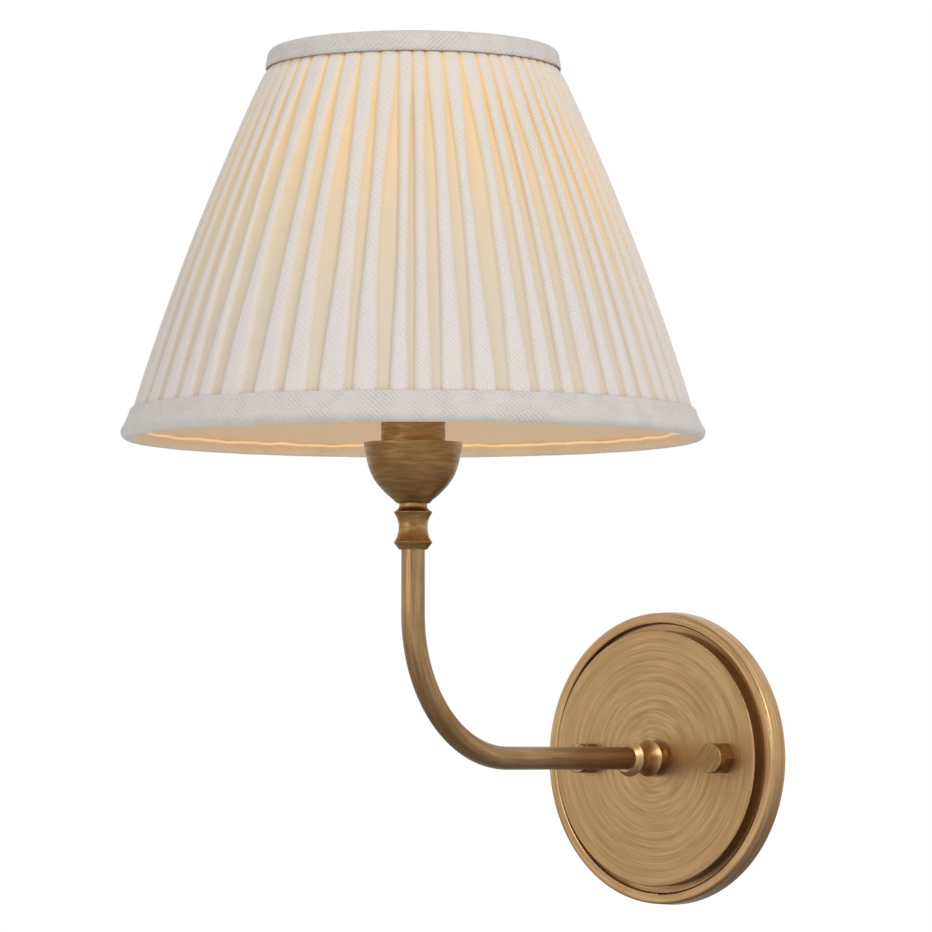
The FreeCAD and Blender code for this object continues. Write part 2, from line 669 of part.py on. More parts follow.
# -------------------------------------------------------------------- bulb
tip_high = S.bulb_low + S.bulb_long
cap_low = S.bulb_low + 4.0
cap_high = S.bulb_low + 20.0
tip = new_body("bulb_contact", "shade")
spin(tip, [(0, S.bulb_low), (1.6, S.bulb_low, 0.8), (2.4, S.bulb_low + 0.8), (2.4, S.bulb_low + 1.6),
           (0, S.bulb_low + 1.6)])

vitrite = new_body("bulb_insulator", "shade")
spin(vitrite, [(0, S.bulb_low + 1.65), (2.4, S.bulb_low + 1.65), (5.9, S.bulb_low + 3.95),
               (5.9, S.bulb_low + 5.5), (0, S.bulb_low + 5.5)])

cap = new_body("bulb_cap", "shade")
section = [(S.cap_rad - 0.7, cap_low), (S.cap_rad - 0.35, cap_low)]
for turn in range(5):
    start = cap_low + 0.5 + 2.8 * turn
    section += [(S.cap_rad - 0.35, start), (S.cap_rad, start + 0.9), (S.cap_rad, start + 1.1),
                (S.cap_rad - 0.35, start + 2.0)]
section += [(S.cap_rad - 0.35, cap_high - 0.8), (S.cap_rad + 1.6, cap_high + 3.0), (S.cap_rad + 1.2, cap_high + 3.0),
            (S.cap_rad - 0.7, cap_high - 0.6)]
spin(cap, section)

glass = new_body("bulb_glass", "shade")
glass_low = cap_high + 1.0
belly = tip_high - 36.6
spin(glass, [(S.cap_rad - 0.9, glass_low), (S.cap_rad - 0.1, glass_low),
             (S.cap_rad + 1.8, glass_low + 4.5, -42.8), (S.bulb_rad - 5.2, belly - 24.5, 60.1),
             (S.bulb_rad, belly, 40.5), (S.bulb_rad - 6.5, belly + 22.0, 240.0),
             (1.6, tip_high - 0.6, 2.4), (0.4, tip_high), (0, tip_high), (0, tip_high - 1.8),
             (0.4, tip_high - 1.8), (1.2, tip_high - 2.2, -239.0),
             (S.bulb_rad - 7.2, belly + 21.6, -39.7), (S.bulb_rad - 0.8, belly, -59.3),
             (S.bulb_rad - 6.0, belly - 24.2, 43.6), (S.cap_rad + 1.0, glass_low + 4.6)])

stem = new_body("bulb_stem", "shade")
spin(stem, [(0, cap_low + 2.0), (S.cap_rad - 1.8, cap_low + 2.0), (S.cap_rad - 1.8, cap_high),
            (1.5, cap_high + 6.0), (1.5, belly - 20.0), (3.6, belly - 18.0), (3.6, belly + 14.0), (2.6, belly + 16.0),
            (0, belly + 16.0)])

# ------------------------------------------------------------------- shade
seat_high = S.thread_low + 0.1
washer = new_body("shade_washer", "shade")
spin(washer, tube_section(S.washer_bore, S.washer_rad, seat_high, seat_high + S.washer_wall))

ring_low = seat_high + S.washer_wall + 0.15
ring = new_body("shade_ring", "shade")
spin(ring, [(S.ring_bore, ring_low), (S.ring_rad - 0.5, ring_low), (S.ring_rad, ring_low + 0.5),
            (S.ring_rad, ring_low + 2.0), (S.ring_rad - 0.5, ring_low + 2.5), (S.ring_bore + 1.8, ring_low + 2.5),
            (S.ring_bore + 1.4, ring_low + 6.0), (S.ring_bore, ring_low + 6.0)])
plan = new_sketch(ring, "XY_Plane", ring_low + 2.5)
ring_of(plan, S.ring_rad + 0.4, 0, 1.0)
notch = extrude(ring, plan, 2.5, cut=True)
around(ring, notch, 18)

top_wire_rad = S.neck_rad - 4.1
top_wire_high = S.shade_high - 3.4
for label, radius, height in (("top_wire", top_wire_rad, top_wire_high),
                              ("bottom_wire", S.rim_rad - 3.2, S.shade_low + 3.3)):
    wire = new_body(label, "shade")
    plan = new_sketch(wire, "XZ_Plane")
    ring_of(plan, radius, height, S.wire_rad)
    hoop = wire.newObject("PartDesign::Revolution", label + "_turned")
    hoop.Profile = plan
    hoop.ReferenceAxis = (plan, ["V_Axis"])
    hoop.Angle = 360.0
    wire.Tip = hoop
    doc.recompute()

# three bars climb from the washer and turn upright under the top wire
struts = new_body("carrier_struts", "shade")
foot_high = seat_high + S.washer_wall + 0.05
foot_rad = S.washer_rad - 1.5
head_rad = top_wire_rad - 0.6
knee_high = S.shade_high - 12.0
head_high = top_wire_high - S.wire_rad - 0.5
lean = math.atan2(head_rad.value - foot_rad.value, knee_high.value - foot_high.value)
knee_bend = 12.0
spine = new_sketch(struts, "YZ_Plane")
knee_start = Vec(head_rad.value - knee_bend * (1 - math.cos(lean)), knee_high.value - knee_bend * math.sin(lean), 0)
knee_end = flat(head_rad, knee_high)
lower = spine.addGeometry(Part.LineSegment(flat(foot_rad, foot_high), knee_start), False)
knee = spine.addGeometry(arc_between(knee_start, knee_end, knee_bend), False)
upper = spine.addGeometry(Part.LineSegment(knee_end, flat(head_rad, head_high)), False)
pin(spine, lower, 1, foot_rad, foot_high)
pin(spine, upper, 1, head_rad, knee_high)
pin(spine, upper, 2, head_rad, head_high)
spine.addConstraint(Sketcher.Constraint("Tangent", lower, 2, knee, 1))
spine.addConstraint(Sketcher.Constraint("Tangent", knee, 2, upper, 1))
bind(spine, "Radius", (knee,), knee_bend)
section = new_sketch(struts, "XY_Plane", foot_high)
ring_of(section, 0, foot_rad, S.strut_rad)
doc.recompute()
bar = struts.newObject("PartDesign::AdditivePipe", "carrier_struts_pipe")
bar.Profile = section
bar.Spine = (spine, ["Edge1", "Edge2", "Edge3"])
struts.Tip = bar
doc.recompute()
around(struts, bar, 3)

cover = new_body("pleated_cover", "shade")
cover_bend = 1150.0
puff_rad, puff_high = S.neck_rad + 2.0, S.shade_high - 14.0
hem_rad, hem_high = S.rim_rad - 5.6, S.shade_low + 13.7
deep = S.pleat_deep
spin(cover, [(S.neck_rad - 3.2, S.shade_high - 6.4), (S.neck_rad - 1.8, S.shade_high - 6.4),
             (S.neck_rad - 1.2, S.shade_high - 9.1), (puff_rad, puff_high, -cover_bend), (hem_rad, hem_high),
             (S.rim_rad - 3.4, S.shade_low + 6.6), (S.rim_rad - 3.4 - deep, S.shade_low + 6.6),
             (hem_rad - deep, hem_high, cover_bend), (puff_rad - deep, puff_high),
             (S.neck_rad - 2.4, S.shade_high - 9.1)])

lining = new_body("shade_lining", "shade")
lining_top, lining_low = S.neck_rad - 2.7, S.rim_rad - 5.8
spin(lining, [(lining_top - S.lining_wall, S.shade_high - 10.4), (lining_top, S.shade_high - 10.4),
              (lining_low, S.shade_low + 6.2), (lining_low - S.lining_wall, S.shade_low + 6.2)])

top_trim = new_body("top_trim", "shade")
skin = S.trim_wall
spin(top_trim, [(S.neck_rad, S.shade_high - 9.0), (S.neck_rad - 1.0, S.shade_high - 4.4, 4.4),
                (S.neck_rad - 5.2, S.shade_high, 1.4), (S.neck_rad - 6.5, S.shade_high - 1.4),
                (S.neck_rad - 6.7, S.shade_high - 10.0), (S.neck_rad - 6.7 + skin, S.shade_high - 10.0),
                (S.neck_rad - 6.5 + skin, S.shade_high - 1.6, -0.7), (S.neck_rad - 5.1, S.shade_high - skin, -3.6),
                (S.neck_rad - 1.0 - skin, S.shade_high - 4.5), (S.neck_rad - skin, S.shade_high - 9.0)])

bottom_trim = new_body("bottom_trim", "shade")
roll = 3.2
roll_mid = S.rim_rad - roll
roll_high = S.shade_low + roll
spin(bottom_trim, [(S.rim_rad - 4.3, S.shade_low + 13.2), (S.rim_rad - 4.3 - skin, S.shade_low + 13.1),
                   (S.rim_rad - skin, roll_high + 0.2, -(roll - skin)), (roll_mid, S.shade_low + skin, -(roll - skin)),
                   (roll_mid - roll + skin, roll_high + 0.2), (S.rim_rad - 7.3, S.shade_low + 7.3),
                   (S.rim_rad - 7.3 - skin, S.shade_low + 7.2), (roll_mid - roll, roll_high, roll),
                   (roll_mid, S.shade_low, roll), (S.rim_rad, roll_high)])

# ------------------------------------------------------------ check and export
doc.recompute()
faults = []
for thing in doc.Objects:
    if any(word in thing.State for word in ("Invalid", "Error")):
        faults.append("%s is %s" % (thing.Label, thing.State))
for body in nodes:
    if body.Shape.isNull() or not body.Shape.isValid() or body.Shape.Volume < 0.1:
        faults.append("%s has no sound shape" % body.Label)
if faults:
    raise RuntimeError("; ".join(faults))

os.makedirs("parts", exist_ok=True)
for body in nodes:
    body.Shape.exportStep("parts/%s.step" % body.Label)
    box = body.Shape.BoundBox
    print("%-18s %2d solids %10.1f mm3  x %7.1f %7.1f  y %7.1f %7.1f  z %7.1f %7.1f" % (
        body.Label, len(body.Shape.Solids), body.Shape.Volume,
        box.XMin, box.XMax, box.YMin, box.YMax, box.ZMin, box.ZMax))
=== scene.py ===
"""Looks of the fabric shade wall light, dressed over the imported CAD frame.

Metres throughout, in the CAD frame: the wall is y = 0, the light stands out
towards -Y and the shade's axis is upright at y = -REACH.
"""
import bpy
import math
import random
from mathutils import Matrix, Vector, noise


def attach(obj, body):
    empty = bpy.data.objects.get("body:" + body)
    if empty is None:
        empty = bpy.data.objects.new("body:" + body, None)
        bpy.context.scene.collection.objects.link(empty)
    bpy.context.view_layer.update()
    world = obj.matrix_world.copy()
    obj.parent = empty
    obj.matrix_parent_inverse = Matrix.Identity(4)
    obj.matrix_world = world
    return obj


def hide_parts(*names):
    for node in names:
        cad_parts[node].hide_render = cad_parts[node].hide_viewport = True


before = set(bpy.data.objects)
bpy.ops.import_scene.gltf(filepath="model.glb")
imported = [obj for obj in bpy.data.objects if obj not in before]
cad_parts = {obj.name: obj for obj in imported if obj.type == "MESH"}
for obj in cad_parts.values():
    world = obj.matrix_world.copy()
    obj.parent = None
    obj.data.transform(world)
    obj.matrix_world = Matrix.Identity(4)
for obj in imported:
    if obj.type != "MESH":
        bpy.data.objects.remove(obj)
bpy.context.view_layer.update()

MM = 0.001
REACH = 170.0            # mm, wall to shade axis
BEND = 60.0              # mm, radius that the arm's brush lines turn with
BULB_HEART = 190.0       # mm, height of the brightest part of the bulb
VIEW = 42.22             # degrees, the photograph's angle about the shade axis


# --------------------------------------------------------------- small helpers
def smooth(x, low, high):
    """0 below low, 1 above high, eased between."""
    t = min(max((x - low) / (high - low), 0.0), 1.0)
    return t * t * (3.0 - 2.0 * t)


def blend(a, b, t):
    return a + (b - a) * t


def wobble(a, b, seed=0.0):
    """Smooth seeded noise from -1 to 1."""
    return noise.noise(Vector((a, b, seed)))


def linear(red, green, blue):
    """A colour seen on screen, 0 to 255, as shader values."""
    def channel(c):
        c /= 255.0
        return c / 12.92 if c <= 0.04045 else ((c + 0.055) / 1.055) ** 2.4
    return (channel(red), channel(green), channel(blue), 1.0)


class Look:
    """A procedural material on one Principled shader."""

    def __init__(self, name, **sockets):
        self.material = bpy.data.materials.new(name)
        self.material.use_nodes = True
        self.tree = self.material.node_tree
        self.shader = self.tree.nodes["Principled BSDF"]
        for key, value in sockets.items():
            self.shader.inputs[key.replace("_", " ")].default_value = value

    def put(self, socket, value):
        if isinstance(value, bpy.types.NodeSocket):
            self.tree.links.new(value, socket)
        else:
            socket.default_value = value

    def node(self, kind, inputs=(), **settings):
        made = self.tree.nodes.new(kind)
        for key, value in settings.items():
            setattr(made, key, value)
        for key, value in dict(inputs).items():
            self.put(made.inputs[key], value)
        return made

    def calc(self, operation, first, second=0.0, third=0.0):
        values = {0: first, 1: second, 2: third}
        if operation in ("SINE", "COSINE", "SQRT", "ABSOLUTE", "FRACT"):
            values = {0: first}
        return self.node("ShaderNodeMath", values, operation=operation).outputs[0]

    def ease(self, value, low, high, start=0.0, end=1.0):
        inputs = {"Value": value, "From Min": low, "From Max": high, "To Min": start, "To Max": end}
        return self.node("ShaderNodeMapRange", inputs, interpolation_type="SMOOTHSTEP").outputs[0]

    def mix(self, factor, first, second, how="MIX"):
        made = self.node("ShaderNodeMix", data_type="RGBA", blend_type=how)
        self.put(made.inputs[0], factor)
        self.put(made.inputs[6], first)
        self.put(made.inputs[7], second)
        return made.outputs[2]

    def split(self, vector):
        return self.node("ShaderNodeSeparateXYZ", {0: vector}).outputs

    def join(self, x, y, z=0.0):
        return self.node("ShaderNodeCombineXYZ", {0: x, 1: y, 2: z}).outputs[0]

    def place(self, kind="Object"):
        return self.node("ShaderNodeTexCoord").outputs[kind]

    def grain(self, vector, scale, detail=2.0, roughness=0.5, distortion=0.0):
        inputs = {"Vector": vector, "Scale": scale, "Detail": detail, "Roughness": roughness,
                  "Distortion": distortion}
        return self.node("ShaderNodeTexNoise", inputs).outputs[0]

    def attribute(self, name):
        return self.node("ShaderNodeAttribute", attribute_name=name).outputs["Fac"]

    def relief(self, height, strength, distance):
        inputs = {"Strength": strength, "Distance": distance, "Height": height}
        return self.node("ShaderNodeBump", inputs).outputs[0]

    def nook(self, distance):
        """How open the spot is: 1 on an open face, towards 0 in a corner."""
        inputs = {"Distance": distance}
        return self.node("ShaderNodeAmbientOcclusion", inputs, samples=8).outputs["AO"]

    def square_sum(self, first, second):
        squares = (self.calc("MULTIPLY", first, first), self.calc("MULTIPLY", second, second))
        return self.calc("ADD", *squares)

    def set(self, **sockets):
        for key, value in sockets.items():
            self.put(self.shader.inputs[key.replace("_", " ")], value)
        return self.material


# ------------------------------------------------------------------- materials
def woven(name, pale, deep, pitch, depth, lamp_glow=None, inside_glow=None, sheen=0.25):
    """Woven cloth; its UV map is in millimetres, pitch is the weave's.

    lamp_glow holds the painted lamp-light colours of the folds that the lamp
    shines through, and inside_glow the painted lamp-light colours of a binding's turned-in edge; both
    follow marks on the mesh.
    """
    look = Look(name, Roughness=0.9, Sheen_Weight=sheen, Sheen_Roughness=0.5,
                Specular_IOR_Level=0.2)
    u, v, _ = look.split(look.place("UV"))
    turn = 2.0 * math.pi / pitch
    drift = look.grain(look.join(u, v), 0.09, 2.0)
    warp = look.calc("MULTIPLY_ADD", look.calc("ADD", u, v), turn * 0.7071,
                     look.calc("MULTIPLY", drift, 7.0))
    weft = look.calc("MULTIPLY_ADD", look.calc("SUBTRACT", u, v), turn * 0.42,
                     look.calc("MULTIPLY", drift, -5.0))
    twill = look.calc("SINE", warp)
    dash = look.calc("MULTIPLY", twill, look.calc("SINE", weft))
    patch = look.ease(look.grain(look.join(u, v, 7.0), 0.12, 2.0), 0.3, 0.7, 0.45, 1.15)
    weave = look.calc("MULTIPLY_ADD", twill, 0.24, look.calc("MULTIPLY", dash, 0.34))
    threads = look.calc("MULTIPLY", patch, weave)
    stretched = look.join(look.calc("MULTIPLY", u, 2.2), look.calc("MULTIPLY", v, 0.5))
    slub = look.grain(stretched, 1.0, 3.0, 0.6)
    fuzz = look.grain(look.join(u, v), 2.4, 3.0, 0.7)
    lint = look.calc("MULTIPLY_ADD", slub, 0.5, look.calc("MULTIPLY", fuzz, 0.5))
    height = look.calc("ADD", threads, lint)
    cloth = look.mix(look.ease(height, 0.0, 1.0), deep, pale)
    if lamp_glow:
        # painted lamp light: fold floors take warm glow colours, warm patches and a faint emission,
        # strongest near the top
        fold = look.attribute("fold")
        height = look.calc("MULTIPLY", height, look.calc("MULTIPLY_ADD", fold, -0.75, 1.0))
        warm = look.attribute("warm")
        floor = look.mix(warm, lamp_glow[0], lamp_glow[1])
        glow_patch = look.ease(look.grain(look.join(u, v, 3.0), 0.035, 2.0), 0.35, 0.7)
        share = look.calc("MULTIPLY", look.calc("MULTIPLY", warm, glow_patch), 0.30)
        cloth = look.mix(share, cloth, lamp_glow[2])
        cloth = look.mix(fold, cloth, floor)
        # painted shade: where ambient occlusion finds the fold floors closed in, the cloth is
        # darkened towards brown
        nook = look.nook(5.0 * MM)
        painted_fold_shadow = look.mix(1.0, cloth, linear(206, 160, 104), "MULTIPLY")
        cloth = look.mix(look.ease(nook, 0.62, 0.18, 0.0, 0.75), cloth, painted_fold_shadow)
        lit = look.calc("MULTIPLY", look.calc("MULTIPLY_ADD", fold, 0.8, 0.2), warm)
        look.set(Emission_Color=linear(255, 200, 120),
                 Emission_Strength=look.calc("MULTIPLY", lit, 0.13))
    if inside_glow:
        # painted lamp light: the turned-in part of a binding and its free edge take warm lit colours
        # and glow
        turned = look.attribute("inner")
        lip = look.attribute("lip")
        cloth = look.mix(turned, cloth, inside_glow[0])
        cloth = look.mix(lip, cloth, inside_glow[1])
        glow = look.calc("MULTIPLY_ADD", lip, 0.30, look.calc("MULTIPLY", turned, 0.15))
        look.set(Emission_Color=linear(255, 214, 160), Emission_Strength=glow)
    return look.set(Base_Color=cloth, Normal=look.relief(height, depth, 0.0004))


# low, high and dull tone of each brushed finish, as seen on screen
TONES = {
    "disc": ((160, 126, 84), (190, 155, 112), (170, 134, 92)),
    "wall": ((158, 124, 84), (206, 168, 124), (170, 134, 94)),
    "nut": ((140, 106, 66), (190, 154, 110), (150, 116, 76)),
    "arm": ((130, 100, 64), (174, 142, 104), (140, 108, 72)),
    "upright": ((138, 103, 60), (184, 148, 100), (142, 107, 66)),
    "cup": ((128, 95, 55), (164, 128, 84), (124, 92, 56)),
}


def brass(name, style):
    """Brushed antique brass; style says which way the brush ran."""
    look = Look(name, Metallic=1.0)
    x, y, z = look.split(look.place())
    if style == "arm":
        side = look.calc("MINIMUM", look.calc("ADD", y, REACH * MM - BEND * MM), 0.0)
        drop = look.calc("MINIMUM", look.calc("SUBTRACT", z, BEND * MM), 0.0)
        level = look.calc("SQRT", look.square_sum(side, drop))
        run = look.calc("SUBTRACT", y, z)
        fine = look.join(look.calc("MULTIPLY", x, 2600.0), look.calc("MULTIPLY", level, 2600.0),
                         look.calc("MULTIPLY", run, 45.0))
        broad = look.join(look.calc("MULTIPLY", x, 420.0), look.calc("MULTIPLY", level, 420.0),
                          look.calc("MULTIPLY", run, 26.0))
    elif style == "nut":
        lean = look.calc("SUBTRACT", look.calc("MULTIPLY", x, 0.82), look.calc("MULTIPLY", z, 0.57))
        other = look.calc("ADD", look.calc("MULTIPLY", x, 0.57), look.calc("MULTIPLY", z, 0.82))
        fine = look.join(look.calc("MULTIPLY", lean, 2200.0), look.calc("MULTIPLY", other, 140.0), y)
        broad = look.join(look.calc("MULTIPLY", lean, 600.0), look.calc("MULTIPLY", other, 60.0), y)
    else:
        if style in ("upright", "cup"):
            depth, first, second = z, x, look.calc("ADD", y, REACH * MM)
        else:
            depth, first, second = y, x, z
        radius = look.calc("SQRT", look.square_sum(first, second))
        around = look.node("ShaderNodeVectorMath", {0: look.join(first, second)},
                           operation="NORMALIZE").outputs[0]
        cosine, sine, _ = look.split(around)
        step = look.calc("ADD", radius, depth)
        spread = 1.3
        if style == "disc":
            sway = look.grain(look.place(), 22.0, 1.0)
            step = look.calc("MULTIPLY_ADD", sway, 0.0022, step)
            spread = 1.1
        fine = look.join(look.calc("MULTIPLY", step, 2300.0),
                         look.calc("MULTIPLY", cosine, spread * 1.6),
                         look.calc("MULTIPLY", sine, spread * 1.6))
        broad = look.join(look.calc("MULTIPLY", step, 520.0),
                          look.calc("MULTIPLY", cosine, spread),
                          look.calc("MULTIPLY", sine, spread))
    hair = look.grain(fine, 1.0, 3.0, 0.6)
    band = look.grain(broad, 1.0, 3.0, 0.6)
    cloud = look.grain(look.place(), 60.0, 3.0, 0.55)
    tone = look.calc("ADD", look.calc("MULTIPLY", hair, 0.45), look.calc("MULTIPLY", band, 0.55))
    tone = look.ease(tone, 0.34, 0.66)
    low, high, dull = TONES[style]
    base = look.mix(tone, linear(*low), linear(*high))
    base = look.mix(look.ease(cloud, 0.4, 0.8, 0.0, 0.7), base, linear(*dull))
    # painted shade: faces turned downwards are darkened towards deep brown
    facing = look.split(look.place("Normal"))[2]
    painted_underside_shade = look.calc("MULTIPLY", look.ease(facing, 0.05, -0.95), 0.45 if style == "cup" else 0.8)
    base = look.mix(painted_underside_shade, base, linear(74, 50, 20))
    # painted shade: corners and recesses found by ambient occlusion are darkened, by a share set for
    # each finish
    share = {"disc": 0.15, "wall": 0.4}.get(style, 0.5)
    painted_recess_shade = look.ease(look.nook(4.0 * MM), 0.6, 0.1, 0.0, share)
    base = look.mix(painted_recess_shade, base, linear(84, 58, 26))
    rough = look.ease(tone, 0.0, 1.0, 0.42, 0.30)
    height = look.calc("ADD", look.calc("MULTIPLY", hair, 0.6), band)
    return look.set(Base_Color=base, Roughness=rough, Normal=look.relief(height, 0.35, 0.00012))


def plain(name, pale, deep, roughness, metallic=0.0, speck=300.0, **sockets):
    """Moulded, plated, enamelled or fired parts: two tones and a fine bump."""
    look = Look(name, Metallic=metallic, **sockets)
    fine = look.grain(look.place(), speck, 4.0, 0.6)
    broad = look.grain(look.place(), speck * 0.12, 2.0)
    tone = look.calc("ADD", look.calc("MULTIPLY", fine, 0.5), look.calc("MULTIPLY", broad, 0.5))
    return look.set(Base_Color=look.mix(look.ease(tone, 0.35, 0.65), deep, pale),
                    Roughness=look.ease(fine, 0.3, 0.7, roughness * 0.85, roughness * 1.15),
                    Normal=look.relief(fine, 0.15, 0.0001))


def frosted_glass():
    """Satin bulb glass, warm and lit from within."""
    look = Look("bulb_satin", Roughness=0.35, Emission_Color=linear(255, 205, 140))
    _, _, height = look.split(look.place())
    away = look.calc("ABSOLUTE", look.calc("SUBTRACT", height, BULB_HEART * MM))
    heart = look.ease(away, 0.045, 0.0, 0.35, 1.1)
    cloud = look.grain(look.place(), 90.0, 3.0)
    look.put(look.shader.inputs["Emission Strength"], heart)
    return look.set(Base_Color=look.mix(cloud, linear(236, 224, 200), linear(250, 242, 226)))


COVER = woven("pleat_cloth", linear(236, 229, 223), linear(212, 202, 195), 1.2, 0.5,
              lamp_glow=(linear(217, 204, 186), linear(236, 203, 151), linear(240, 216, 190)))
TRIM = woven("trim_cloth", linear(236, 228, 222), linear(198, 190, 183), 0.9, 0.8,
             inside_glow=(linear(222, 199, 172), linear(250, 214, 164)))
LINING = woven("lining_cloth", linear(222, 201, 172), linear(206, 184, 155), 0.6, 0.3, sheen=0.1)
# painted lamp light: the lining is given a warm emission, as if lit by the bulb
lit_cloth = LINING.node_tree.nodes["Principled BSDF"].inputs
lit_cloth["Emission Color"].default_value = linear(255, 226, 188)
lit_cloth["Emission Strength"].default_value = 0.15
DISC = brass("brass_disc", "disc")
TURNED_WALL = brass("brass_turned_wall", "wall")
TURNED_UP = brass("brass_turned_up", "upright")
CUP = brass("brass_cup", "cup")
ARM = brass("brass_arm", "arm")
NUT = brass("brass_nut", "nut")
STEEL = plain("zinc_plate", linear(190, 190, 186), linear(150, 149, 144), 0.38, 1.0, 500.0)
BRIGHT = plain("bright_nickel", linear(214, 210, 200), linear(180, 174, 160), 0.25, 1.0, 400.0)
BLOCK = plain("block_moulding", linear(222, 217, 204), linear(205, 199, 184), 0.5, 0.0, 700.0)
DARK = plain("holder_moulding", linear(44, 38, 34), linear(28, 24, 22), 0.45, 0.0, 600.0)
CERAMIC = plain("fired_ceramic", linear(236, 232, 222), linear(218, 212, 198), 0.55, 0.0, 500.0)
BROWN = plain("brown_insulation", linear(120, 74, 42), linear(98, 58, 32), 0.5, 0.0, 900.0)
BLUE = plain("blue_insulation", linear(56, 106, 168), linear(40, 84, 142), 0.5, 0.0, 900.0)
BLACK = plain("black_vitreous", linear(34, 30, 30), linear(16, 14, 14), 0.15, 0.0, 500.0)
CORE = plain("diffusing_core", linear(250, 232, 190), linear(240, 214, 160), 0.5, 0.0, 500.0)
ENAMEL = plain("white_enamel", linear(232, 229, 220), linear(216, 212, 200), 0.3, 0.0, 500.0)
RING = plain("ring_moulding", linear(230, 226, 214), linear(214, 209, 194), 0.42, 0.0, 600.0)
SATIN = frosted_glass()

FINISHES = {
    "backplate_disc": DISC, "backplate_pan": TURNED_WALL, "wall_spool": TURNED_WALL,
    "cap_nut_left": NUT, "cap_nut_right": NUT, "arm_tube": ARM,
    "upper_spool": TURNED_UP, "cup": CUP, "holder_sleeve": TURNED_UP,
    "terminal_block": BLOCK, "holder_base": DARK, "holder_insert": CERAMIC,
    "screw_shell": BRIGHT, "centre_contact": BRIGHT, "bulb_contact": BRIGHT, "bulb_cap": BRIGHT,
    "bulb_insulator": BLACK, "bulb_glass": SATIN, "bulb_stem": CORE,
    "live_lead": BROWN, "neutral_lead": BLUE, "shade_ring": RING,
    "shade_washer": ENAMEL, "carrier_struts": ENAMEL, "top_wire": ENAMEL, "bottom_wire": ENAMEL,
}
for name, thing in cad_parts.items():
    finish = FINISHES.get(name, STEEL)
    for spot in thing.material_slots:
        spot.material = finish


# ------------------------------------------------------------- surface builder
def surface(name, rows, finish, marks=None):
    """A skin over rows of points; each point is (x, y, z, u, v), in mm.

    The rows run down the cloth, and each one goes right round the shade.
    marks maps attribute names to rows of numbers, one a point.
    """
    wide, tall = len(rows[0]), len(rows)
    points = [Vector(p[:3]) * MM for row in rows for p in row]
    faces = []
    for j in range(tall - 1):
        for i in range(wide):
            k = (i + 1) % wide
            faces.append((j * wide + i, (j + 1) * wide + i, (j + 1) * wide + k, j * wide + k))
    mesh = bpy.data.meshes.new(name)
    mesh.from_pydata(points, [], faces)
    layer = mesh.uv_layers.new(name="cloth")
    spot = 0
    for j in range(tall - 1):
        for i in range(wide):
            k = (i + 1) % wide
            for row, column in ((j, i), (j + 1, i), (j + 1, k), (j, k)):
                u, v = rows[row][column][3:5]
                if k == 0 and column == 0:
                    last, before = rows[row][wide - 1][3], rows[row][wide - 2][3]
                    u = last + (last - before)
                layer.data[spot].uv = (u, v)
                spot += 1
    for key, values in (marks or {}).items():
        mark = mesh.attributes.new(key, "FLOAT", "POINT")
        mark.data.foreach_set("value", [v for row in values for v in row])
    mesh.polygons.foreach_set("use_smooth", [True] * len(faces))
    mesh.materials.append(finish)
    mesh.validate()
    made = bpy.data.objects.new(name, mesh)
    bpy.context.scene.collection.objects.link(made)
    return made


def at_angle(theta, radius, height):
    """A point round the shade's axis, theta in radians from +X, sizes in mm."""
    return (radius * math.cos(theta), radius * math.sin(theta) - REACH, height)


# --------------------------------------------------------------- pleated cover
def cover_radius(z):
    """Radius of the fold tops, from under the top trim to under the bottom one."""
    if z > 290.0:
        return blend(61.1, 60.6, smooth(z, 290.0, 293.0))
    if z > 284.0:
        t = (290.0 - z) / 6.0
        return 61.1 + 3.8 * t ** 0.8
    if z > 147.0:
        t = (284.0 - z) / 137.0
        return blend(64.9, 117.4, t) + 2.7 * 4.0 * t * (1.0 - t)
    return blend(117.4, 119.5, (147.0 - z) / 7.0)


random.seed(11)
# where the folds meet across the front, in degrees from the camera's side,
# and how wide each of these valleys is beside the others
SEEN_VALLEYS = [-78.0, -70.3, -62.6, -55.8, -49.4, -43.4, -34.8, -27.6, -20.4, -12.8, -5.7,
                -0.4, 4.6, 11.2, 17.9, 24.9, 30.2, 35.0, 41.6, 47.0, 52.0, 57.7, 63.3, 69.7, 76.5]
SEEN_WIDTHS = [1.0, 0.9, 1.1, 0.8, 1.2, 1.1, 1.25, 0.8, 1.2, 0.55, 1.3, 0.5, 0.9,
               0.8, 1.25, 0.7, 0.9, 1.2, 0.8, 1.1, 0.7, 1.2, 0.8, 1.0, 0.9]
HIDDEN_VALLEYS = 34
start, stop = SEEN_VALLEYS[-1], SEEN_VALLEYS[0] + 360.0
steps = [1.0 + random.uniform(-0.22, 0.22) for _ in range(HIDDEN_VALLEYS + 1)]
total = sum(steps)
angle, valleys, widths = start, list(SEEN_VALLEYS), list(SEEN_WIDTHS)
for step in steps[:-1]:
    angle += (stop - start) * step / total
    valleys.append(angle)
    widths.append(random.uniform(0.5, 1.3))
valleys = [math.radians(v - 90.0 + VIEW) for v in valleys]
count = len(valleys)
# tilt and crown of each fold, and its own place in the noise
traits = [(random.uniform(-0.28, 0.28), random.uniform(0.75, 1.15), random.random() * 50.0)
          for _ in range(count)]


def fold_half(i, t, pitch):
    """Half width of a valley floor at t, from 0 at the top to 1 at the hem."""
    i %= count
    open_up = smooth(t, 0.0, 0.42) * (1.0 - 0.50 * smooth(t, 0.55, 1.0))
    drift = 1.0 + 0.35 * wobble(t * 2.2, traits[i][2], 3.0)
    return max(0.10, (0.02 + 0.235 * widths[i] * open_up * drift) * pitch)


# offset into the shoulder, level up the fold, share of valley colour
SHOULDER = ((0.0, 0.08, 0.95), (0.10, 0.36, 0.74), (0.28, 0.62, 0.45), (0.56, 0.84, 0.20),
            (1.0, 0.97, 0.04))
TOP, HEM = 293.0, 140.4         # mm, ends of the cover
BANDS = 60                      # rows of faces down the cover
FOLD_CLOTH = 13.0               # mm of the weave's map that each fold starts after the last


